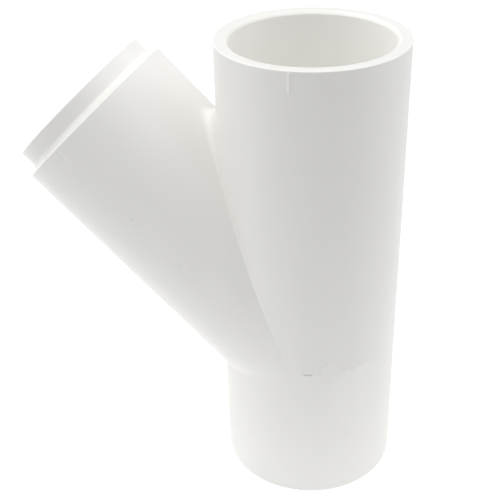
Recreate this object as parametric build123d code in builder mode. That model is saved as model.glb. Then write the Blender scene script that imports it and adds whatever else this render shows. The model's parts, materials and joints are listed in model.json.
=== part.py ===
"""Lateral wye for 2 inch Schedule 40 pressure pipe, injection moulded in white rigid PVC.

A straight run with a socket at each end carries a branch of the same bore at 45 degrees.
The whole fitting is one moulding. Its outside is plain: the barrels keep one diameter from
end to end, and only the branch mouth steps down to a short thin-walled lip.

Frame: +Z runs up the run's axis from the centre of the lower rim, and the branch leaves
towards -X and up. The moulding's plane of symmetry is XZ. Millimetres.
"""

import os
from math import cos, radians, sin, tan

from build123d import *

# Pipe that the fitting takes: nominal 2 inch, Schedule 40
pipe_diameter = 60.325
pipe_bore = 52.5

# Sockets: parallel at the mean of the standard's mouth and bottom diameters
socket_allowance = 0.075
socket_depth = 38.1

# Barrels
run_diameter = 71.4
run_length = 186.7
branch_diameter = 71.0  # a hair under the run, so that the seam is one closed curve
branch_height = 62.1  # where the two axes cross
branch_length = 124.3  # from the crossing to the shoulder below the lip
branch_angle = 45.0
branch_bore = 52.1  # under the run's bore for the same reason

# Branch lip
lip_diameter = 63.7
lip_height = 8.9
shoulder_slope = 18.0  # degrees, rising inwards
lip_root_radius = 2.5
lip_edge_chamfer = 0.6

# Edges
crotch_radius = 2.5
bore_crotch_radius = 1.0
rim_edge_chamfer = 0.4
lead_in_width = 1.4
lead_in_depth = 1.2
branch_lead_in = 0.4

# Alignment ticks on the sides of the run's upper hub and of the branch
tick_length = 7.8
tick_width = 0.6
tick_height = 0.25
tick_root = 0.5  # how far a tick is sunk in the barrel to join it

socket_diameter = pipe_diameter + socket_allowance
run_radius = run_diameter / 2
branch_radius = branch_diameter / 2
lip_radius = lip_diameter / 2
lip_top = branch_length + lip_height
shoulder_rise = (branch_radius - lip_radius) * tan(radians(shoulder_slope))

branch_direction = Vector(-sin(radians(branch_angle)), 0, cos(radians(branch_angle)))
crossing = Vector(0, 0, branch_height)


def across_branch(distance):
    """The plane square to the branch axis at a distance from the crossing, facing outwards."""
    return Plane(origin=crossing + branch_direction * distance, x_dir=(0, 1, 0), z_dir=branch_direction)


run_foot = Plane.XY
run_head = Plane.XY.offset(run_length)
# In this section plane local X runs out from the branch axis and local Y along it
branch_section = Plane(origin=crossing, x_dir=(cos(radians(branch_angle)), 0, sin(radians(branch_angle))),
                       z_dir=(0, -1, 0))

with BuildPart() as wye_body:
    # The two barrels and the fillet along their seam
    with BuildSketch(run_foot):
        Circle(run_radius)
    extrude(amount=run_length)
    with BuildSketch(across_branch(0)):
        Circle(branch_radius)
    extrude(amount=branch_length)
    fillet(wye_body.edges().filter_by(GeomType.BSPLINE), radius=crotch_radius)

    # The lip that stands on the branch's sloping shoulder, with a hollow radius at its root
    with BuildSketch(branch_section):
        with BuildLine():
            Polyline(
                (0, branch_length),
                (branch_radius, branch_length),
                (lip_radius, branch_length + shoulder_rise),
                (lip_radius, lip_top - lip_edge_chamfer),
                (lip_radius - lip_edge_chamfer, lip_top),
                (0, lip_top),
                close=True,
            )
        lip_profile = make_face()
        fillet(lip_profile.vertices().group_by(Axis.X)[2].sort_by(Axis.Y)[0], radius=lip_root_radius)
    revolve(axis=Axis(crossing, branch_direction))

    # The run's outer rims
    run_rims = wye_body.edges().filter_by(Plane.XY).filter_by(GeomType.CIRCLE).sort_by(Axis.Z)
    chamfer([run_rims[0], run_rims[-1]], length=rim_edge_chamfer)

    # Waterway, with the edge where the branch opens into the run rounded off
    with BuildSketch(run_foot):
        Circle(pipe_bore / 2)
    extrude(amount=run_length, mode=Mode.SUBTRACT)
    with BuildSketch(across_branch(0)):
        Circle(branch_bore / 2)
    extrude(amount=lip_top, mode=Mode.SUBTRACT)
    fillet(wye_body.edges(Select.LAST).filter_by(GeomType.BSPLINE), radius=bore_crotch_radius)

    # Sockets, each down to the shoulder that stops the pipe
    with BuildSketch(run_foot, run_head.offset(-socket_depth), across_branch(lip_top - socket_depth)):
        Circle(socket_diameter / 2)
    extrude(amount=socket_depth, mode=Mode.SUBTRACT)

    # Lead-in chamfers that guide the pipe into the run's sockets, and a light one on the lip
    for rim in (wye_body.faces().sort_by(Axis.Z)[0], wye_body.faces().sort_by(Axis.Z)[-1]):
        mouth = rim.inner_wires()[0].edges()
        chamfer(mouth, length=lead_in_width, length2=lead_in_depth, reference=rim)
    lip_face = wye_body.faces().sort_by(Axis(crossing, branch_direction))[-1]
    chamfer(lip_face.inner_wires()[0].edges(), length=branch_lead_in)

    # Alignment ticks on both sides, along the run below its upper rim and along the branch below its lip
    tick_middles = (
        (Vector(0, 0, run_length - rim_edge_chamfer - tick_length / 2), (0, 0, 1), run_radius),
        (crossing + branch_direction * (branch_length - tick_length / 2), branch_direction, branch_radius),
    )
    for middle, along, radius in tick_middles:
        for side in (-1, 1):
            start = middle + Vector(0, side * (radius - tick_root), 0)
            with BuildSketch(Plane(origin=start, x_dir=along, z_dir=(0, side, 0))):
                Rectangle(tick_length, tick_width)
            extrude(amount=tick_root + tick_height)

os.makedirs("parts", exist_ok=True)
wye_body.part.label = "wye_body"
export_step(wye_body.part, "parts/wye_body.step")
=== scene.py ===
"""Lateral wye fitting in white moulded PVC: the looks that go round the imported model.

The fitting is one closed moulding. Its skin is worked out here as surfaces in two parameters,
with the hollow rounds along its seams, the stepped lip at the branch mouth, the sockets and
the waterway, and it stands for the CAD node of the same shape. Lengths are in metres, and
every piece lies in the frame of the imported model: the run stands on its lower rim at the
origin, and the branch leaves towards -X and up.
"""

import json
import logging
import math
from dataclasses import dataclass, field
from enum import Enum

import bmesh
import bpy
import numpy as np
from mathutils import Matrix, Vector

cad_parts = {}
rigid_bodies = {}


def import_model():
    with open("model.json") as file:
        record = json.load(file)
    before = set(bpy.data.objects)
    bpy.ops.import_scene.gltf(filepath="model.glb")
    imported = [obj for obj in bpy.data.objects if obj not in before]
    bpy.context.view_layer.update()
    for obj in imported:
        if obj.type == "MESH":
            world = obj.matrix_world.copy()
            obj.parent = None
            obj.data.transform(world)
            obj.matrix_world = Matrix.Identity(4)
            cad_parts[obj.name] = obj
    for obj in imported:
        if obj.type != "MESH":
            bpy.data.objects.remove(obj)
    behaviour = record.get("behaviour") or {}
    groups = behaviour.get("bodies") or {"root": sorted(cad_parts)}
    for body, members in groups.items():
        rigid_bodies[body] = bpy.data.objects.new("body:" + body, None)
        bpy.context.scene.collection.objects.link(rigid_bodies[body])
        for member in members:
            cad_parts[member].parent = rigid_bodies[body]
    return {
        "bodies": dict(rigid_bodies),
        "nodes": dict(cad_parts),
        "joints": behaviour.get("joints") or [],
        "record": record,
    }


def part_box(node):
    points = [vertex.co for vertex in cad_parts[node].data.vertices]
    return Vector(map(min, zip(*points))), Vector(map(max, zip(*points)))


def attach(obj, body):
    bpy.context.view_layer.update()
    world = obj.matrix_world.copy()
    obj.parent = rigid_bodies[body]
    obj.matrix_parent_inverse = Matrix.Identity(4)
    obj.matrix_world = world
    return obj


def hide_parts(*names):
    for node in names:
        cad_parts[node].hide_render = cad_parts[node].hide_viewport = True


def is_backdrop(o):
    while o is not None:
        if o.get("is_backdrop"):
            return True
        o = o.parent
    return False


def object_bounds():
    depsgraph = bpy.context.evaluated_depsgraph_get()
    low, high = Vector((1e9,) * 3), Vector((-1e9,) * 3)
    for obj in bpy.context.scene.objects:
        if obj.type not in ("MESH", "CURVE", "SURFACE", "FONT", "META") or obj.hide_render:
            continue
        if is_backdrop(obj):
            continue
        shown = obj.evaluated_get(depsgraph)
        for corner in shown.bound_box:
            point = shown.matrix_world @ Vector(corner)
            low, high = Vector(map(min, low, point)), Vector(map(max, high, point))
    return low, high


LOG = logging.getLogger("lateral_wye")
MM = 0.001
CM3 = 1e-6
NODE = "wye_body"
BODY = "root"
UP = np.array([0.0, 0.0, 1.0])
SIDE = np.array([0.0, 1.0, 0.0])
ON_SKIN = 0.001 * MM
STRAIGHT = -0.9999


def smooth(low: float, high: float, value: np.ndarray) -> np.ndarray:
    """0 below low and 1 above high, with 3t^2 - 2t^3 between them."""
    share = np.clip((value - low) / (high - low), 0, 1)
    return share * share * (3 - 2 * share)


# ------------------------------------------------------------
# Sizes
# ------------------------------------------------------------


@dataclass(frozen=True)
class WyeSizes:
    """The fitting's sizes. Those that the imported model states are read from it."""

    run_radius: float
    run_length: float
    crossing: np.ndarray
    branch_axis: np.ndarray
    branch_top: float
    socket_radius: float
    socket_depth: float
    bore_radius: float = 26.15 * MM
    lip_radius: float = 31.85 * MM
    lip_height: float = 8.9 * MM
    lip_root: float = 2.5 * MM
    shoulder_slope: float = math.radians(18.0)
    lead_in_width: float = 1.4 * MM
    lead_in_depth: float = 1.2 * MM
    lip_lead_in: float = 0.4 * MM
    rim_round: float = 0.45 * MM
    rim_inner_round: float = 0.2 * MM
    lead_in_round: float = 0.5 * MM
    shoulder_round: float = 0.3 * MM
    lip_round: float = 0.6 * MM
    lip_inner_round: float = 0.1 * MM
    stop_root: float = 0.3 * MM
    stop_round: float = 0.4 * MM

    @classmethod
    def from_frame(cls, frame: dict) -> "WyeSizes":
        """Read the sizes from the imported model.


        Returns:
            The sizes in metres.
        """
        _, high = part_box(NODE)
        mounts = {mount["name"]: mount for mount in frame["record"]["mounts"]}
        upper, branch = mounts["upper_socket"], mounts["branch_socket"]
        axis = np.array(branch["axis"], float)
        axis /= np.linalg.norm(axis)
        seat = np.array(branch["pos_m"], float)
        reach = seat[0] / axis[0]
        return cls(
            run_radius=high.x,
            run_length=high.z,
            crossing=seat - reach * axis,
            branch_axis=axis,
            branch_top=reach + cls.lip_lead_in,
            socket_radius=upper["dims"]["r_mm"] * MM,
            socket_depth=high.z - upper["pos_m"][2] + upper["dims"]["length_mm"] * MM,
        )

    @property
    def branch_length(self) -> float:
        """Distance from the crossing of the axes to the foot of the lip's shoulder."""
        return self.branch_top - self.lip_height


# ------------------------------------------------------------
# Mesh tools
# ------------------------------------------------------------


class Quilt:
    """Grids of points that are sewn together into one mesh."""

    def __init__(self) -> None:
        """Start with no grids."""
        self.points: list[np.ndarray] = []
        self.quads: list[np.ndarray] = []
        self.count = 0

    def add(self, grid: np.ndarray, closed: bool = False) -> None:
        """Add a grid of points as quads.

        Args:
            grid: Points, shaped rows by columns by 3.
            closed: True if the last column joins the first, as round a ring.
        """
        rows, columns = grid.shape[:2]
        index = np.arange(rows * columns).reshape(rows, columns) + self.count
        if closed:
            index = np.concatenate([index, index[:, :1]], axis=1)
        corners = (index[:-1, :-1], index[:-1, 1:], index[1:, 1:], index[1:, :-1])
        self.points.append(grid.reshape(-1, 3))
        self.quads.append(np.stack(corners, axis=-1).reshape(-1, 4))
        self.count += rows * columns

    def sew(self, name: str, weld: float = 0.002 * MM) -> bpy.types.Object:
        """Weld the grids' shared borders and turn the faces outwards.

        Args:
            name: The piece's name.
            weld: Points nearer to each other than this become one.

        Returns:
            The new object, smooth shaded, at the origin.
        """
        mesh = bpy.data.meshes.new(name)
        mesh.from_pydata(np.concatenate(self.points), [], np.concatenate(self.quads))
        work = bmesh.new()
        work.from_mesh(mesh)
        bmesh.ops.remove_doubles(work, verts=work.verts, dist=weld)
        bmesh.ops.dissolve_degenerate(work, edges=work.edges, dist=weld)
        bmesh.ops.recalc_face_normals(work, faces=work.faces)
        loose = sum(1 for edge in work.edges if not edge.is_manifold)
        LOG.info("%s: %d faces, %d open edges, %.2f cm3", name, len(work.faces), loose,
                 work.calc_volume(signed=True) / CM3)
        work.to_mesh(mesh)
        work.free()
        mesh.polygons.foreach_set("use_smooth", np.ones(len(mesh.polygons), bool))
        piece = bpy.data.objects.new(name, mesh)
        bpy.context.scene.collection.objects.link(piece)
        return piece


def point_values(mesh: bpy.types.Mesh, name: str, values: np.ndarray) -> None:
    """Write one number per vertex as a named attribute, which the finish reads."""
    mesh.attributes.new(name, "FLOAT", "POINT").data.foreach_set("value", values.astype(np.float32))


def vertex_spots(mesh: bpy.types.Mesh) -> np.ndarray:
    """The mesh's vertices as rows of x, y, z."""
    spots = np.empty(len(mesh.vertices) * 3)
    mesh.vertices.foreach_get("co", spots)
    return spots.reshape(-1, 3)


@dataclass(frozen=True)
class Corner:
    """A corner of a turned profile: radius from the axis, distance along it, its round and steps."""

    radius: float
    along: float
    round: float = 0.0
    steps: int = 3


def turned_profile(corners: list[Corner], hold: float = 0.12 * MM) -> np.ndarray:
    """Points along a profile whose corners are rounded.

    Each inner corner becomes an arc tangent to its two sides: its centre lies on the bisector at
    round / sin(half the angle), and the tangent points at round / tan(half the angle). A further
    point stands a hair outside each tangent point, so that the flats beside the arc stay flat
    under smooth shading.

    Args:
        corners: The profile's corners in order; the first and last are its ends.
        hold: Distance of the further points from the arc.

    Returns:
        Rows of (radius, along).
    """
    spots = np.array([(corner.radius, corner.along) for corner in corners])
    rows = [spots[0]]
    for before, here, after, corner in zip(spots, spots[1:], spots[2:], corners[1:]):
        back = (before - here) / np.linalg.norm(before - here)
        ahead = (after - here) / np.linalg.norm(after - here)
        half = math.acos(float(np.clip(back @ ahead, -1, 1))) / 2
        bisector = (back + ahead) / np.linalg.norm(back + ahead)
        across = (back - ahead) / np.linalg.norm(back - ahead)
        tangent = corner.round / math.tan(half)
        centre = here + bisector * corner.round / math.sin(half)
        turn = np.linspace(1, -1, corner.steps + 1)[:, None] * (math.pi / 2 - half)
        arc = centre - corner.round * (np.cos(turn) * bisector - np.sin(turn) * across)
        rows += [here + back * (tangent + hold), *arc, here + ahead * (tangent + hold)]
    rows.append(spots[-1])
    return np.array(rows)


# ------------------------------------------------------------
# Marks that the mould left in the run's skin
# ------------------------------------------------------------


@dataclass(frozen=True)
class GateMark:
    """The round face where the gate was trimmed off the run, with a ring groove round it.

    The face lies depth under the skin, and its level share of the run's curve is taken out, so
    that it is flatter than the barrel round it. The colour is a little darker on the face, and
    the groove is darker still with painted shade.
    """

    azimuth: float = math.radians(26.3)
    height: float = 62.75 * MM
    radius: float = 5.2 * MM
    wall: float = 0.6 * MM
    depth: float = 0.12 * MM
    level: float = 0.5
    groove: float = 0.14 * MM
    groove_half: float = 0.6 * MM
    face_duller: float = 0.008
    ring_painted_shade: float = 0.03

    def away(self, azimuth: np.ndarray, height: np.ndarray, run_radius: float) -> np.ndarray:
        """Distance from the mark's middle, over the skin."""
        return np.hypot(run_radius * (azimuth - self.azimuth), height - self.height)

    def inside(self, azimuth: np.ndarray, height: np.ndarray, run_radius: float) -> np.ndarray:
        """1 on the face and 0 outside it, with a smooth step over its wall."""
        return 1 - smooth(self.radius - self.wall, self.radius, self.away(azimuth, height, run_radius))

    def ring(self, azimuth: np.ndarray, height: np.ndarray, run_radius: float) -> np.ndarray:
        """1 in the middle of the ring groove and 0 outside it."""
        off = np.abs(self.away(azimuth, height, run_radius) - self.radius + self.wall / 2)
        return 1 - smooth(0, self.groove_half, off)

    def lift(self, azimuth: np.ndarray, height: np.ndarray, run_radius: float) -> np.ndarray:
        """How far the skin is moved outwards: level * arc^2 / (2 * run radius) - depth on the face."""
        arc = run_radius * (azimuth - self.azimuth)
        flat = self.level * arc**2 / (2 * run_radius) - self.depth
        face = self.inside(azimuth, height, run_radius) * flat
        return face - self.groove * self.ring(azimuth, height, run_radius)

    def tone(self, azimuth: np.ndarray, height: np.ndarray, run_radius: float) -> np.ndarray:
        """How much lighter the colour is, never above 0: a little darker on the face, with painted shade
        in the groove.
        """
        face = self.face_duller * self.inside(azimuth, height, run_radius)
        # Painted shade in the ring groove.
        return -np.maximum(face, self.ring_painted_shade * self.ring(azimuth, height, run_radius))


@dataclass(frozen=True)
class WitnessLine:
    """The faint ledge that two parts of the mould left across the run's front and right side.

    The skin below the line lies depth lower, and comes back to the barrel over a long slope. The
    ledge fades in at its start and out towards its end, and is deeper at one bruise on the way.
    The colour is a little darker over the line and lighter under it. Painted shade darkens the bruise.
    """

    height: float = 62.45 * MM
    wall: float = 0.35 * MM
    depth: float = 0.09 * MM
    slope: float = 26.0 * MM
    start: tuple = (math.radians(0.0), math.radians(2.5))
    end: tuple = (math.radians(46.0), math.radians(62.0))
    bruise_at: float = math.radians(40.0)
    bruise_width: float = math.radians(3.4)
    bruise_depth: float = 0.32 * MM
    bruise_fade: tuple = (0.2 * MM, 2.4 * MM)
    bruise_half: float = 0.6 * MM
    bruise_painted_shade: float = 0.035
    duller: float = 0.032
    paler: float = 0.04
    tone_start: tuple = (math.radians(0.0), math.radians(12.0))
    tone_end: tuple = (math.radians(38.0), math.radians(56.0))
    pale_start: tuple = (math.radians(14.0), math.radians(34.0))
    tone_reach: float = 22.0 * MM

    @staticmethod
    def present(azimuth: np.ndarray, start: tuple, end: tuple) -> np.ndarray:
        """From 0 to 1 over the start's two azimuths, and back to 0 over the end's two."""
        return smooth(*start, azimuth) * (1 - smooth(*end, azimuth))

    def bruised(self, azimuth: np.ndarray) -> np.ndarray:
        """1 at the bruise and 0 well to its sides, as e^-(angle / width)^2."""
        return np.exp(-(((azimuth - self.bruise_at) / self.bruise_width) ** 2))

    def tone(self, azimuth: np.ndarray, height: np.ndarray) -> np.ndarray:
        """How much paler the skin is at an azimuth and a height.

        Both sides of the line fade as e^(-distance / reach), and the pale side comes up past the
        gate mark. The bruise gets painted shade, as e^-(distance / half)^2.
        """
        under = self.height - height
        fade = np.exp(-np.abs(under) / self.tone_reach)
        below = smooth(-self.wall / 2, self.wall / 2, under)
        pale = self.paler * smooth(*self.pale_start, azimuth) * below
        pale = pale * self.present(azimuth, self.tone_start, self.end)
        dull = self.duller * self.present(azimuth, self.tone_start, self.tone_end) * (1 - below)
        # Painted shade in the bruise's deeper groove.
        dark = self.bruise_painted_shade * self.bruised(azimuth) * np.exp(-((under / self.bruise_half) ** 2))
        return fade * (pale - dull) - dark

    def lift(self, azimuth: np.ndarray, height: np.ndarray) -> np.ndarray:
        """How far the skin is moved outwards, which is never a positive number."""
        under = self.height - height
        ledge = smooth(-self.wall / 2, self.wall / 2, under)
        step = self.depth * self.present(azimuth, self.start, self.end)
        step = step * (1 - smooth(0, self.slope, under))
        bruise = self.bruise_depth * self.bruised(azimuth) * (1 - smooth(*self.bruise_fade, under))
        return -ledge * (step + bruise)


@dataclass(frozen=True)
class Nick:
    """A short nick on the witness line, darkened with painted shade.

    It is a groove whose depth falls from its middle line as 1 - smooth(away / half width), and
    it runs out at both ends.
    """

    low: float = math.radians(8.1)
    high: float = math.radians(14.4)
    taper: float = math.radians(1.0)
    height: float = 62.15 * MM
    half_width: float = 0.38 * MM
    depth: float = 0.4 * MM

    def depth_share(self, azimuth: np.ndarray, height: np.ndarray) -> np.ndarray:
        """The groove's depth as a share of its deepest."""
        start = smooth(self.low, self.low + self.taper, azimuth)
        end = 1 - smooth(self.high - self.taper, self.high, azimuth)
        return start * end * (1 - smooth(0, self.half_width, np.abs(height - self.height)))


@dataclass(frozen=True)
class MouldMarks:
    """All that the mould left in the run's skin, pressed into the finished mesh."""

    gate: GateMark = GateMark()
    line: WitnessLine = WitnessLine()
    nick: Nick = Nick()

    def press(self, mesh: bpy.types.Mesh, run_radius: float, tone: np.ndarray) -> None:
        """Move the run's outer skin by the marks, and write the colour changes and painted shade.

        Args:
            mesh: The moulding's mesh. It gains two point attributes: the nick's painted shade, and the
                tone.
            run_radius: The run's outside radius.
            tone: How much lighter each vertex's colour is before the marks, which holds the rims' painted
                shade.
        """
        spots = vertex_spots(mesh)
        azimuth = np.arctan2(spots[:, 0], -spots[:, 1])
        height = spots[:, 2]
        radius = np.hypot(spots[:, 0], spots[:, 1])
        skin = (np.abs(radius - run_radius) < ON_SKIN) & (azimuth > 0)
        beside = 1 - self.gate.inside(azimuth, height, run_radius)
        groove = self.nick.depth_share(azimuth, height)
        lift = self.gate.lift(azimuth, height, run_radius) + beside * self.line.lift(azimuth, height)
        lift = (lift - groove * self.nick.depth) * skin
        spots[:, :2] *= (1 + lift / radius)[:, None]
        mesh.vertices.foreach_set("co", spots.ravel())
        change = self.gate.tone(azimuth, height, run_radius) + beside * self.line.tone(azimuth, height)
        # The nick's painted shade.
        point_values(mesh, "nick_shade", groove * skin)
        point_values(mesh, "tone", tone + change * skin)
        mesh.update()


# ------------------------------------------------------------
# The moulding
# ------------------------------------------------------------


@dataclass(frozen=True)
class Leg:
    """One of the three barrels that meet at the crossing, and how its rows are spaced.

    Rows stand step apart up to fine from the crossing. Beyond that the spacing grows with the
    distance: row n past the fine stretch lies at fine + step * (e^(growth * n) - 1) / growth, drawn
    in a little so that the last row lies at the reach.
    """

    name: str
    direction: np.ndarray
    reach: float
    step: float
    fine: float
    growth: float = 0.12

    def fractions(self) -> np.ndarray:
        """The rows' distances from the crossing as shares of the leg's reach."""
        near = np.arange(round(self.fine / self.step)) * self.step
        last = math.log1p(self.growth * (self.reach - self.fine) / self.step)
        number = np.linspace(0, last, math.ceil(last / self.growth) + 1)
        far = self.fine + self.step * np.expm1(number) / self.growth
        return np.concatenate([near, far]) / self.reach

    def in_line(self, mate: "Leg") -> bool:
        """True if this leg and its neighbour are the two ends of one straight barrel."""
        return bool(self.direction @ mate.direction < STRAIGHT)

    def facing(self, mate: "Leg") -> np.ndarray:
        """The direction square to this leg's axis that points towards its neighbour."""
        if self.in_line(mate):
            return np.array([1.0, 0.0, 0.0])
        lean = mate.direction - (mate.direction @ self.direction) * self.direction
        return lean / np.linalg.norm(lean)


@dataclass(frozen=True)
class SeamRound:
    """How the round along a seam grows from the front of the fitting to its crotch.

    In a column that stands off the plane of symmetry by the angle a, the round's radius is
    crotch * cos(a)^gather + trail * cos(a), so that it is full at the crotch, thin along the
    seam, and dies out where the barrels' sides run into each other.
    """

    crotch: float
    gather: float = 1.0
    trail: float = 0.0

    def radius(self, cosine: np.ndarray) -> np.ndarray:
        """The round's radius for the cosine of the column's angle."""
        return self.crotch * cosine**self.gather + self.trail * cosine


@dataclass(frozen=True)
class Columns:
    """Where the columns of a half turn stand, from the front at -90 degrees to the back at 90.

    They are even, or gathered: between low and high they stand times closer together.
    """

    count: int
    low: float = 0.0
    high: float = 0.0
    times: float = 1.0

    def angles(self) -> np.ndarray:
        """The columns' angles, in radians."""
        quarter = math.pi / 2
        bends = np.array([-quarter, self.low, self.high, quarter])
        reached = np.insert(np.cumsum(np.diff(bends) * np.array([1, self.times, 1])), 0, 0)
        return np.interp(np.linspace(0, reached[-1], self.count + 1), reached, bends)


@dataclass
class Moulding:
    """The wye's one moulded body: three barrels, their seams, mouths, sockets and waterway."""

    sizes: WyeSizes
    margin: float = 1.5 * MM
    run_rows: tuple = (0.28 * MM, 6.4 * MM)
    branch_rows: tuple = (0.35 * MM, 4.2 * MM)
    inner_rows: tuple = (0.5 * MM, 2.0 * MM, 0.25)
    thinnest: float = 1e-6 * MM
    near_socket: float = 0.3 * MM
    past_lip: float = 0.4 * MM
    rim_band: float = 0.02 * MM
    # Painted shade: the colour of the rims, lead-ins and lip shoulder is darkened by this much.
    rim_painted_shade: float = 0.155
    shoulder_shade_share: float = 0.4
    upper_seam: SeamRound = SeamRound(4.5 * MM, gather=14.0, trail=0.2 * MM)
    lower_seam: SeamRound = SeamRound(1.6 * MM, gather=3.0, trail=0.25 * MM)
    inner_seam: SeamRound = SeamRound(1.2 * MM)
    plain: Columns = Columns(112)
    marked: Columns = Columns(184, math.radians(-88), math.radians(-46), 4.0)
    marks: MouldMarks = MouldMarks()
    outer: dict = field(init=False)
    inner: dict = field(init=False)

    def __post_init__(self) -> None:
        """Point the legs of the outer skin and of the waterway away from the crossing."""
        size = self.sizes
        socket = size.socket_depth + self.margin
        ways = (
            ("up", UP, size.run_length - size.crossing[2], 0.0, self.run_rows),
            ("branch", size.branch_axis, size.branch_length, size.lip_height, self.branch_rows),
            ("down", -UP, size.crossing[2], 0.0, self.run_rows),
        )
        self.outer = {}
        self.inner = {}
        for name, way, end, lip, rows in ways:
            self.outer[name] = Leg(name, way, end - self.margin, *rows)
            self.inner[name] = Leg(name, way, end + lip - socket, *self.inner_rows)

    def sheet(
        self, radius: float, one: Leg, other: Leg, seam: SeamRound, columns: Columns
    ) -> np.ndarray:
        """The stretch of skin between two neighbouring legs.

        Both legs are round bars of one radius whose axes cross. A column keeps its distance y
        from the plane of symmetry: y = radius * sin(a). In that column's plane each leg shows as
        a straight line, set off its axis towards the other leg by radius * cos(a), and the two
        lines meet at radius * cos(a) / tan(half the angle between the legs) from the crossing.
        There they are joined by an arc of the seam's radius, tangent to both.

        Args:
            radius: The skin's radius round each leg's axis.
            one: The first leg.
            other: The second leg.
            seam: The round along the seam.
            columns: The columns of the half turn.

        Returns:
            Points, shaped rows by columns by 3, from the end of one leg to the end of the other.
        """
        angle = columns.angles()
        cosine = np.clip(np.cos(angle), 0, None)
        half = math.acos(float(np.clip(one.direction @ other.direction, -1, 1))) / 2
        straight = one.in_line(other)
        corner_at = radius * cosine * (0.0 if straight else 1 / math.tan(half))
        corner = (self.sizes.crossing + corner_at[:, None] * one.direction
                  + radius * cosine[:, None] * one.facing(other) + radius * np.sin(angle)[:, None] * SIDE)
        halves = []
        for leg, mate in ((one, other), (other, one)):
            away = leg.fractions()[:, None] * (leg.reach - corner_at)
            line = corner + away[:, :, None] * leg.direction
            if not straight:
                bend = seam.radius(cosine)
                tangent = np.maximum(bend / math.tan(half), self.thinnest)
                turn = np.clip(away / tangent, 0, 1) * (math.pi / 2 - half)
                middle = (leg.direction + mate.direction) / (2 * math.cos(half))
                across = (leg.direction - mate.direction) / (2 * math.sin(half))
                centre = corner + (bend / math.sin(half))[:, None] * middle
                arc = centre - bend[:, None] * (np.cos(turn)[:, :, None] * middle
                                                - np.sin(turn)[:, :, None] * across)
                line = np.where((away < tangent)[:, :, None], arc, line)
            halves.append(line)
        return np.concatenate([halves[0][::-1], halves[1][1:]])

    def mouth(self, leg: Leg, mate: Leg, near: Columns, far: Columns, profile: np.ndarray) -> np.ndarray:
        """A turned end: the profile carried round the leg's axis.

        Args:
            leg: The leg whose end is turned.
            mate: The neighbour that the first half turn faces.
            near: The columns of the half turn that faces the neighbour.
            far: The columns of the other half turn.
            profile: Rows of (radius, distance from the crossing).

        Returns:
            Points, shaped profile rows by columns by 3. The last column is short of the first.
        """
        turn = np.concatenate([near.angles()[:-1], math.pi - far.angles()[:0:-1]])
        spoke = np.cos(turn)[:, None] * leg.facing(mate) + np.sin(turn)[:, None] * SIDE
        return (self.sizes.crossing + profile[:, 1, None, None] * leg.direction
                + profile[:, 0, None, None] * spoke)

    def run_mouth(self, leg: Leg) -> np.ndarray:
        """Profile of a run socket, from the barrel over the rim and down to the waterway."""
        size = self.sizes
        end = leg.reach + self.margin
        floor = end - size.socket_depth
        return turned_profile([
            Corner(size.run_radius, leg.reach),
            Corner(size.run_radius, end, size.rim_round, 4),
            Corner(size.socket_radius + size.lead_in_width, end, size.rim_inner_round),
            Corner(size.socket_radius, end - size.lead_in_depth, size.lead_in_round),
            Corner(size.socket_radius, floor, size.stop_root),
            Corner(size.bore_radius, floor, size.stop_round),
            Corner(size.bore_radius, self.inner[leg.name].reach),
        ])

    def lip_mouth(self, leg: Leg) -> np.ndarray:
        """Profile of the branch mouth: shoulder, hollow root, lip, socket and waterway."""
        size = self.sizes
        top = size.branch_top
        rise = (size.run_radius - size.lip_radius) * math.tan(size.shoulder_slope)
        floor = top - size.socket_depth
        return turned_profile([
            Corner(size.run_radius, leg.reach),
            Corner(size.run_radius, size.branch_length, size.shoulder_round, 4),
            Corner(size.lip_radius, size.branch_length + rise, size.lip_root, 9),
            Corner(size.lip_radius, top, size.lip_round, 5),
            Corner(size.socket_radius + size.lip_lead_in, top, size.lip_inner_round, 2),
            Corner(size.socket_radius, top - size.lip_lead_in, size.lip_inner_round, 2),
            Corner(size.socket_radius, floor, size.stop_root),
            Corner(size.bore_radius, floor, size.stop_round),
            Corner(size.bore_radius, self.inner[leg.name].reach),
        ])

    def from_axis(self, spots: np.ndarray, leg: Leg) -> tuple[np.ndarray, np.ndarray]:
        """The points' distances along a leg from the crossing, and away from its axis."""
        reach = spots - self.sizes.crossing
        along = reach @ leg.direction
        return along, np.linalg.norm(reach - along[:, None] * leg.direction, axis=1)

    def inside(self, spots: np.ndarray) -> np.ndarray:
        """1 for points on the socket walls and the waterway, which lie near a leg's axis."""
        found = np.zeros(len(spots), bool)
        for leg in self.outer.values():
            along, away = self.from_axis(spots, leg)
            found |= (along > 0) & (away < self.sizes.socket_radius + self.near_socket)
        return found

    def rims(self, spots: np.ndarray) -> np.ndarray:
        """1 on the sockets' rims and lead-ins, less on the lip's shoulder, 0 elsewhere: the painted
        shade's share.
        """
        size = self.sizes
        found = np.zeros(len(spots))
        for leg in self.outer.values():
            along, away = self.from_axis(spots, leg)
            end, lead_in = leg.reach + self.margin, size.lead_in_depth
            if leg.name == "branch":
                end, lead_in = size.branch_top, size.lip_lead_in
                shoulder = (along > size.branch_length) & (away > size.lip_radius + self.past_lip)
                found[shoulder] = self.shoulder_shade_share
            found[(along > end - self.rim_band) | ((along > end - lead_in) & self.inside(spots))] = 1.0
        return found

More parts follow.
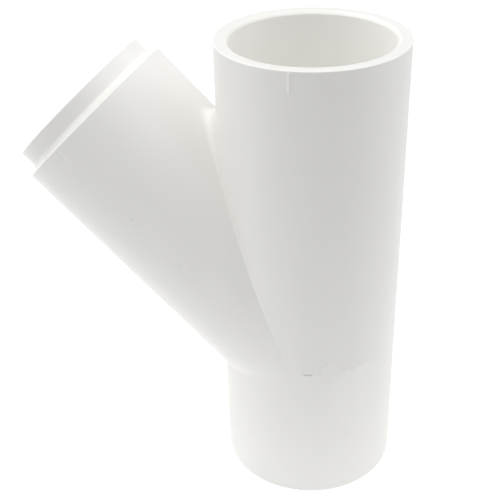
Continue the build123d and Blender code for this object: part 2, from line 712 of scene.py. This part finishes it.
    def build(self) -> bpy.types.Object:
        """Sew the skins and the mouths into one closed body and press the marks into it."""
        size = self.sizes
        skin, bore = self.outer, self.inner
        up, branch, down = skin["up"], skin["branch"], skin["down"]
        quilt = Quilt()
        for one, other, seam, columns in (
            ("up", "branch", self.upper_seam, self.plain),
            ("branch", "down", self.lower_seam, self.plain),
            ("down", "up", self.lower_seam, self.marked),
        ):
            quilt.add(self.sheet(size.run_radius, skin[one], skin[other], seam, columns))
            quilt.add(self.sheet(size.bore_radius, bore[one], bore[other], self.inner_seam, columns))
        quilt.add(self.mouth(up, branch, self.plain, self.marked, self.run_mouth(up)), closed=True)
        quilt.add(self.mouth(down, branch, self.plain, self.marked, self.run_mouth(down)), closed=True)
        quilt.add(self.mouth(branch, up, self.plain, self.plain, self.lip_mouth(branch)), closed=True)
        piece = quilt.sew("wye_moulding")
        spots = vertex_spots(piece.data)
        point_values(piece.data, "inside", self.inside(spots))
        # The rims get their painted shade here, carried in the tone attribute.
        self.marks.press(piece.data, size.run_radius, -self.rim_painted_shade * self.rims(spots))
        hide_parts(NODE)
        return piece


@dataclass(frozen=True)
class TickSize:
    """How long, wide and high a tick is, and how far it stays from the edge above it."""

    gap: float
    length: float
    width: float
    height: float


RUN_TICK = TickSize(gap=0.5 * MM, length=7.8 * MM, width=1.8 * MM, height=0.34 * MM)
BRANCH_TICK = TickSize(gap=0.8 * MM, length=8.8 * MM, width=1.4 * MM, height=0.18 * MM)


@dataclass
class AlignmentTick:
    """A thin raised line on a barrel's side, which the pipe is lined up with.

    Its section rises as height * (1 + cos(pi * across / half width)) / 2. It is carried along the
    barrel on a root sunk into the skin, and both ends close in over half its width.
    """

    name: str
    edge: np.ndarray
    along: np.ndarray
    outward: np.ndarray
    size: TickSize
    root: float = 0.5 * MM
    sunk: float = 0.02 * MM
    section_points: int = 17
    rows: int = 25

    def build(self) -> bpy.types.Object:
        """Make the line as a closed bar sunk into the barrel."""
        size = self.size
        share = np.linspace(1, -1, self.section_points)
        over = size.height * (1 + np.cos(math.pi * share)) / 2 - self.sunk
        under = -self.root * np.sqrt(1 - share[1:-1] ** 2) - self.sunk
        across = np.concatenate([share, -share[1:-1]]) * size.width / 2
        lift = np.concatenate([over, under])
        place = np.sin(np.linspace(-1, 1, self.rows) * math.pi / 2) * size.length / 2
        inset = np.clip((size.length / 2 - np.abs(place)) / (size.width / 2), 0, 1)
        swell = np.sqrt(1 - (1 - inset) ** 2)
        middle = self.edge - (size.gap + size.length / 2) * self.along
        sideways = np.cross(self.along, self.outward)
        grid = (middle + place[:, None, None] * self.along
                + (swell[:, None] * across)[:, :, None] * sideways
                + (swell[:, None] * lift)[:, :, None] * self.outward)
        quilt = Quilt()
        quilt.add(grid, closed=True)
        return quilt.sew(self.name)


# ------------------------------------------------------------
# Finishes
# ------------------------------------------------------------


class SocketKind(Enum):
    """The kinds of socket that the shader groups here use."""

    FLOAT = "NodeSocketFloat"
    VECTOR = "NodeSocketVector"


@dataclass(frozen=True)
class Speckle:
    """A noise: how close its grains stand, how much finer detail it has and how strong that is."""

    scale: float
    detail: float
    rough: float


CLOUDS = Speckle(60.0, 3.0, 0.55)
GRAIN = Speckle(2600.0, 3.0, 0.6)
WAVES = Speckle(38.0, 1.0, 0.4)
RAGGED = Speckle(1400.0, 2.0, 0.5)


class NodeTree:
    """Short calls for building a node tree."""

    def __init__(self, tree: bpy.types.NodeTree) -> None:
        """Hold the tree that the calls add to."""
        self.tree = tree

    def node(self, kind: str, **settings: object) -> bpy.types.Node:
        """Add a node and set its plain properties."""
        made = self.tree.nodes.new(kind)
        for key, value in settings.items():
            setattr(made, key, value)
        return made

    def feed(self, target: bpy.types.NodeSocket, source: object) -> None:
        """Link a socket to a target, or set the target's value."""
        if isinstance(source, bpy.types.NodeSocket):
            self.tree.links.new(source, target)
        else:
            target.default_value = source

    def math(self, operation: str, *values: object) -> bpy.types.NodeSocket:
        """A Math node's result."""
        made = self.node("ShaderNodeMath", operation=operation)
        for target, value in zip(made.inputs, values):
            self.feed(target, value)
        return made.outputs[0]

    def spread(self, value: object, low: object, high: object) -> bpy.types.NodeSocket:
        """0 below low, 1 above high, and a smooth change between."""
        made = self.node("ShaderNodeMapRange", interpolation_type="SMOOTHSTEP")
        for target, source in (("Value", value), ("From Min", low), ("From Max", high)):
            self.feed(made.inputs[target], source)
        return made.outputs["Result"]

    def apart(self, one: object, other: object) -> bpy.types.NodeSocket:
        """The distance between two places."""
        made = self.node("ShaderNodeVectorMath", operation="DISTANCE")
        self.feed(made.inputs[0], one)
        self.feed(made.inputs[1], other)
        return made.outputs["Value"]

    def noise(self, place: object, speckle: Speckle) -> bpy.types.NodeSocket:
        """A Noise Texture's value, about 0.5 on average."""
        made = self.node("ShaderNodeTexNoise")
        self.feed(made.inputs["Vector"], place)
        made.inputs["Scale"].default_value = speckle.scale
        made.inputs["Detail"].default_value = speckle.detail
        made.inputs["Roughness"].default_value = speckle.rough
        return made.outputs["Fac"]

    def mixed(self, share: object, one: tuple, other: tuple) -> bpy.types.NodeSocket:
        """One vector where the share is 0, and the other where it is 1."""
        made = self.node("ShaderNodeMix", data_type="VECTOR")
        sockets = {socket.identifier: socket for socket in made.inputs}
        for target, source in (("Factor_Float", share), ("A_Vector", one), ("B_Vector", other)):
            self.feed(sockets[target], source)
        return {socket.identifier: socket for socket in made.outputs}["Result_Vector"]

    def scaled(self, vector: object, factor: object) -> bpy.types.NodeSocket:
        """A vector times a number."""
        made = self.node("ShaderNodeVectorMath", operation="SCALE")
        self.feed(made.inputs[0], vector)
        self.feed(made.inputs["Scale"], factor)
        return made.outputs["Vector"]


def shader_group(name: str, inputs: dict, outputs: dict) -> tuple[NodeTree, dict, dict]:
    """An empty shader node group with named sockets.

    Args:
        name: The group's name.
        inputs: Name to (SocketKind, default value).
        outputs: Name to SocketKind.

    Returns:
        The tree to build in, its input sockets by name, and its output sockets by name.
    """
    tree = bpy.data.node_groups.new(name, "ShaderNodeTree")
    for label, (kind, value) in inputs.items():
        tree.interface.new_socket(label, in_out="INPUT", socket_type=kind.value).default_value = value
    for label, kind in outputs.items():
        tree.interface.new_socket(label, in_out="OUTPUT", socket_type=kind.value)
    build = NodeTree(tree)
    entry = build.node("NodeGroupInput").outputs
    leave = build.node("NodeGroupOutput").inputs
    return build, {label: entry[label] for label in inputs}, {label: leave[label] for label in outputs}


def moulded_skin_group(rougher: float = 0.12) -> bpy.types.NodeTree:
    """A moulded plastic's skin: faint clouds in its colour, fine grain and slow waves.

    Its inputs are the place on the object in metres and the strengths. Its outputs are the shade
    that multiplies the colour, the change of roughness, and the height in metres.

    Args:
        rougher: How much the roughness changes with the clouds.

    Returns:
        The shader group.
    """
    build, given, out = shader_group(
        "moulded_skin",
        {
            "Place": (SocketKind.VECTOR, (0, 0, 0)),
            "Cloud": (SocketKind.FLOAT, 0.02),
            "Grain": (SocketKind.FLOAT, 4e-6),
            "Wave": (SocketKind.FLOAT, 3e-5),
        },
        {"Shade": SocketKind.FLOAT, "Rougher": SocketKind.FLOAT, "Height": SocketKind.FLOAT},
    )
    centred = build.math("SUBTRACT", build.noise(given["Place"], CLOUDS), 0.5)
    grain = build.math("MULTIPLY", build.noise(given["Place"], GRAIN), given["Grain"])
    wave = build.math("MULTIPLY", build.noise(given["Place"], WAVES), given["Wave"])
    build.feed(out["Shade"], build.math("ADD", 1.0, build.math("MULTIPLY", centred, given["Cloud"])))
    build.feed(out["Rougher"], build.math("MULTIPLY", centred, rougher))
    build.feed(out["Height"], build.math("ADD", grain, wave))
    return build.tree


@dataclass(frozen=True)
class Scuff:
    """A small dull spot on the skin: where it is, how wide it is, and how dark."""

    place: tuple
    radius: float
    depth: float


def scuffed_skin_group(
    scuffs: tuple[Scuff, ...], edge: float = 0.55, full: float = 0.25
) -> bpy.types.NodeTree:
    """Small dull spots at given places.

    Its input is the place on the object in metres. Its output is the shade that multiplies the
    colour. A spot is full at its middle and gone at its radius, and noise breaks up its edge: the
    distance from the middle is multiplied by edge + noise.

    Args:
        scuffs: The spots.
        edge: What the noise is added to.
        full: The share of a spot's radius over which it is full.

    Returns:
        The shader group.
    """
    build, given, out = shader_group(
        "scuffed_skin", {"Place": (SocketKind.VECTOR, (0, 0, 0))}, {"Shade": SocketKind.FLOAT}
    )
    ragged = build.math("ADD", edge, build.noise(given["Place"], RAGGED))
    shade = 1.0
    for scuff in scuffs:
        broken = build.math("MULTIPLY", build.apart(given["Place"], scuff.place), ragged)
        clean = build.spread(broken, full * scuff.radius, scuff.radius)
        mark = build.math("MULTIPLY", build.math("SUBTRACT", 1.0, clean), scuff.depth)
        shade = build.math("MULTIPLY", shade, build.math("SUBTRACT", 1.0, mark))
    build.feed(out["Shade"], shade)
    return build.tree


@dataclass(frozen=True)
class MouldedPvc:
    """White rigid PVC as it leaves the mould."""

    name: str = "white_pvc_moulded"
    colour: tuple = (0.93, 0.922, 0.894)
    # Painted light: a lighter colour for the socket walls and waterway, standing in for light that
    # reaches inside.
    inside_painted_light_colour: tuple = (0.985, 0.977, 0.945)
    roughness: float = 0.36
    ior: float = 1.54
    cloud: float = 0.02
    grain: float = 4e-6
    wave: float = 3e-5
    # Painted shade: how much the nick's groove is darkened.
    nick_shade_depth: float = 0.29
    scuffs: tuple = (
        Scuff((-60.5 * MM, -35.7 * MM, 124.0 * MM), 1.4 * MM, 0.052),
        Scuff((-58.7 * MM, -35.7 * MM, 121.9 * MM), 1.1 * MM, 0.045),
        Scuff((-43.0 * MM, -35.7 * MM, 106.0 * MM), 1.1 * MM, 0.052),
        Scuff((-43.4 * MM, -35.7 * MM, 104.6 * MM), 0.8 * MM, 0.03),
        Scuff((-5.5 * MM, -35.3 * MM, 69.8 * MM), 1.5 * MM, 0.03),
        Scuff((21.8 * MM, -28.3 * MM, 29.3 * MM), 2.0 * MM, 0.025),
        Scuff((20.6 * MM, -29.2 * MM, 3.4 * MM), 1.6 * MM, 0.025),
    )

    def material(self) -> bpy.types.Material:
        """Build the material.

        Returns:
            A Principled material whose small changes follow Object coordinates.
        """
        made = bpy.data.materials.new(self.name)
        made.use_nodes = True
        build = NodeTree(made.node_tree)
        shader = made.node_tree.nodes["Principled BSDF"]
        place = build.node("ShaderNodeTexCoord").outputs["Object"]
        skin = build.node("ShaderNodeGroup", node_tree=moulded_skin_group())
        build.feed(skin.inputs["Place"], place)
        skin.inputs["Cloud"].default_value = self.cloud
        skin.inputs["Grain"].default_value = self.grain
        skin.inputs["Wave"].default_value = self.wave
        # Painted shade darkens the nick.
        nick_shade = build.node("ShaderNodeAttribute", attribute_name="nick_shade").outputs["Fac"]
        clean = build.math("SUBTRACT", 1.0, build.math("MULTIPLY", nick_shade, self.nick_shade_depth))
        # The tone holds the painted shade of the rims and grooves, and the witness line's lighter and
        # darker skin.
        tone = build.node("ShaderNodeAttribute", attribute_name="tone").outputs["Fac"]
        scuffed = build.node("ShaderNodeGroup", node_tree=scuffed_skin_group(self.scuffs))
        build.feed(scuffed.inputs["Place"], place)
        shade = build.math("MULTIPLY", skin.outputs["Shade"], scuffed.outputs["Shade"])
        shade = build.math("MULTIPLY", shade, clean)
        shade = build.math("MULTIPLY", shade, build.math("ADD", 1.0, tone))
        # The inside gets the lighter colour: painted light.
        inside = build.node("ShaderNodeAttribute", attribute_name="inside").outputs["Fac"]
        plain = build.mixed(inside, self.colour, self.inside_painted_light_colour)
        build.feed(shader.inputs["Base Color"], build.scaled(plain, shade))
        build.feed(shader.inputs["Roughness"], build.math("ADD", self.roughness, skin.outputs["Rougher"]))
        shader.inputs["IOR"].default_value = self.ior
        bump = build.node("ShaderNodeBump")
        bump.inputs["Distance"].default_value = 1.0
        build.feed(bump.inputs["Height"], skin.outputs["Height"])
        build.feed(shader.inputs["Normal"], bump.outputs["Normal"])
        return made


# ------------------------------------------------------------
# Studio
# ------------------------------------------------------------


@dataclass(frozen=True)
class SoftLamp:
    """A square soft lamp that looks at the middle of the fitting."""

    name: str
    azimuth: float
    elevation: float
    watts: float
    distance: float = 0.7
    size: float = 1.0

    def build(self, aim: Vector) -> bpy.types.Object:
        """Place the lamp. Azimuth 0 is in front of the fitting, and 90 is on its +X side."""
        turn, lift = math.radians(self.azimuth), math.radians(self.elevation)
        away = Vector((math.sin(turn) * math.cos(lift), -math.cos(turn) * math.cos(lift), math.sin(lift)))
        data = bpy.data.lights.new(self.name, "AREA")
        data.shape = "SQUARE"
        data.size = self.size
        data.energy = self.watts
        lamp = bpy.data.objects.new(self.name, data)
        lamp.location = aim + away * self.distance
        lamp.rotation_mode = "QUATERNION"
        lamp.rotation_quaternion = (-away).to_track_quat("-Z", "Y")
        bpy.context.scene.collection.objects.link(lamp)
        return lamp


@dataclass
class Studio:
    """White light table, soft lamps, white surroundings and the camera.

    Between the two distances of a reach the floor changes smoothly from near to far.
    """

    aim: Vector
    lamps: tuple = (
        SoftLamp("lamp_left", -90, 45, 3.98),
        SoftLamp("lamp_left_front", -45, 45, 0.35),
        SoftLamp("lamp_left_front_low", -45, 10, 0.48),
        SoftLamp("lamp_front", 15, 45, 0.4),
        SoftLamp("lamp_front_high", 15, 70, 1.68),
        SoftLamp("lamp_top", 0, 88, 0.75),
        SoftLamp("lamp_right", 105, 45, 2.38),
        SoftLamp("lamp_right_low", 105, 10, 1.1),
        SoftLamp("lamp_back_left", -150, 45, 0.22),
        SoftLamp("lamp_back_right", 150, 10, 0.4),
        SoftLamp("lamp_back_high", 180, 70, 0.5),
    )
    floor_half: float = 4.0
    floor_colour: tuple = (0.86, 0.86, 0.86, 1.0)
    floor_roughness: float = 0.9
    table_glow: float = 0.43
    table_radius: tuple = (0.13, 0.24)
    seen_near: float = 0.42
    seen_far: float = 0.66
    seen_reach: tuple = (0.15, 0.5)
    horizon_reach: tuple = (0.5, 1.3)
    dark_side: float = 0.55
    dark_side_reach: tuple = (0.03, 0.2)
    viewpoint: tuple = (69.0 * MM, -321.9 * MM, 296.1 * MM)
    yaw: float = math.radians(16.334)
    pitch: float = math.radians(31.005)
    roll: float = math.radians(-1.613)
    lens: float = 68.36
    sensor: float = 36.0
    clip: tuple = (0.01, 50.0)

    def build(self) -> None:
        """Set up everything round the fitting."""
        self.floor()
        for lamp in self.lamps:
            lamp.build(self.aim)
        self.world()
        self.camera()
        bpy.context.scene.view_settings.view_transform = "Standard"

    @staticmethod
    def seen(build: NodeTree) -> bpy.types.NodeSocket:
        """1 for what the camera sees straight on, in gloss or through something clear."""
        path = build.node("ShaderNodeLightPath")
        seen = build.math("MAXIMUM", path.outputs["Is Camera Ray"], path.outputs["Is Glossy Ray"])
        return build.math("MAXIMUM", seen, path.outputs["Is Transmission Ray"])

    def floor(self) -> None:
        """A wide white floor that glows gently under the fitting, as a light table does.

        The glow lights the fitting only. What the camera and gloss see is a second strength, which
        keeps the fitting's shadow: low near the fitting, where the lamps make up the rest, and 1 at
        the horizon. In gloss the +X side is darker.
        """
        half = self.floor_half
        corners = [(-half, -half, 0), (half, -half, 0), (half, half, 0), (-half, half, 0)]
        mesh = bpy.data.meshes.new("floor")
        mesh.from_pydata(corners, [], [(0, 1, 2, 3)])
        floor = bpy.data.objects.new("floor", mesh)
        bpy.context.scene.collection.objects.link(floor)
        made = bpy.data.materials.new("studio_floor")
        made.use_nodes = True
        build = NodeTree(made.node_tree)
        shader = made.node_tree.nodes["Principled BSDF"]
        shader.inputs["Base Color"].default_value = self.floor_colour
        shader.inputs["Roughness"].default_value = self.floor_roughness
        shader.inputs["Specular IOR Level"].default_value = 0.0
        shader.inputs["Emission Color"].default_value = (1, 1, 1, 1)
        place = build.node("ShaderNodeTexCoord").outputs["Object"]
        away = build.apart(place, (0, 0, 0))
        seen = self.seen(build)
        glow = build.math("SUBTRACT", 1.0, build.spread(away, *self.table_radius))
        glow = build.math("MULTIPLY", glow, self.table_glow)
        glow = build.math("MULTIPLY", glow, build.math("SUBTRACT", 1.0, seen))
        shown = self.seen_near
        for reach, rise in (
            (self.seen_reach, self.seen_far - self.seen_near),
            (self.horizon_reach, 1.0 - self.seen_far),
        ):
            shown = build.math("ADD", shown, build.math("MULTIPLY", build.spread(away, *reach), rise))
        across = build.node("ShaderNodeSeparateXYZ")
        build.feed(across.inputs[0], place)
        dark = build.spread(across.outputs["X"], *self.dark_side_reach)
        dark = build.math("MULTIPLY", dark, build.node("ShaderNodeLightPath").outputs["Is Glossy Ray"])
        lighter = build.math("SUBTRACT", 1.0, build.math("MULTIPLY", dark, self.dark_side))
        shown = build.math("MULTIPLY", build.math("MULTIPLY", seen, shown), lighter)
        build.feed(shader.inputs["Emission Strength"], build.math("ADD", shown, glow))
        floor.data.materials.append(made)
        floor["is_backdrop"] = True

    def world(self) -> None:
        """Surroundings that look white to the camera and in gloss, and cast no light of their own."""
        world = bpy.data.worlds.new("studio_world")
        bpy.context.scene.world = world
        world.use_nodes = True
        build = NodeTree(world.node_tree)
        back = world.node_tree.nodes["Background"]
        back.inputs["Color"].default_value = (1, 1, 1, 1)
        build.feed(back.inputs["Strength"], self.seen(build))

    def camera(self) -> None:
        """The camera, turned by its yaw, then tipped down, then rolled."""
        right = np.array([math.cos(self.yaw), math.sin(self.yaw), 0.0])
        level = np.array([-math.sin(self.yaw), math.cos(self.yaw), 0.0])
        ahead = level * math.cos(self.pitch) - UP * math.sin(self.pitch)
        above = np.cross(right, ahead)
        across = right * math.cos(self.roll) + above * math.sin(self.roll)
        upward = -right * math.sin(self.roll) + above * math.cos(self.roll)
        data = bpy.data.cameras.new("camera")
        data.sensor_width = self.sensor
        data.lens = self.lens
        data.clip_start, data.clip_end = self.clip
        camera = bpy.data.objects.new("camera", data)
        turned = Matrix((across, upward, -ahead)).transposed().to_4x4()
        camera.matrix_world = Matrix.Translation(self.viewpoint) @ turned
        bpy.context.scene.collection.objects.link(camera)
        bpy.context.scene.camera = camera


# ------------------------------------------------------------
# Making
# ------------------------------------------------------------


def dress(piece: bpy.types.Object, finish: bpy.types.Material) -> None:
    """Give a piece its finish and its body.

    Args:
        piece: The piece.
        finish: Its material.
    """
    piece.data.materials.append(finish)
    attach(piece, BODY)
    LOG.info("dressed %s", piece.name)


def ticks(sizes: WyeSizes) -> list[AlignmentTick]:
    """The alignment ticks on both sides of the run's upper mouth and of the branch mouth."""
    run_end = UP * sizes.run_length
    branch_end = sizes.crossing + sizes.branch_axis * sizes.branch_length
    made = []
    for out, word in ((-SIDE, "front"), (SIDE, "back")):
        side = out * sizes.run_radius
        made += [
            AlignmentTick(f"run_tick_{word}", run_end + side, UP, out, RUN_TICK),
            AlignmentTick(f"branch_tick_{word}", branch_end + side, sizes.branch_axis, out, BRANCH_TICK),
        ]
    return made


def plain_list(corners: tuple) -> list:
    """A pair of corners as plain lists of numbers."""
    return [[float(value) for value in corner] for corner in corners]


def main() -> None:
    """Build the fitting and the studio round it."""
    logging.basicConfig(level=logging.INFO, format="%(name)s: %(message)s")
    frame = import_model()
    cad_bounds = plain_list(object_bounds())
    sizes = WyeSizes.from_frame(frame)
    pvc = MouldedPvc().material()
    dress(Moulding(sizes).build(), pvc)
    for tick in ticks(sizes):
        dress(tick.build(), pvc)
    low, high = (Vector(corner) for corner in cad_bounds)
    Studio((low + high) / 2).build()


if __name__ == "__main__":
    main()
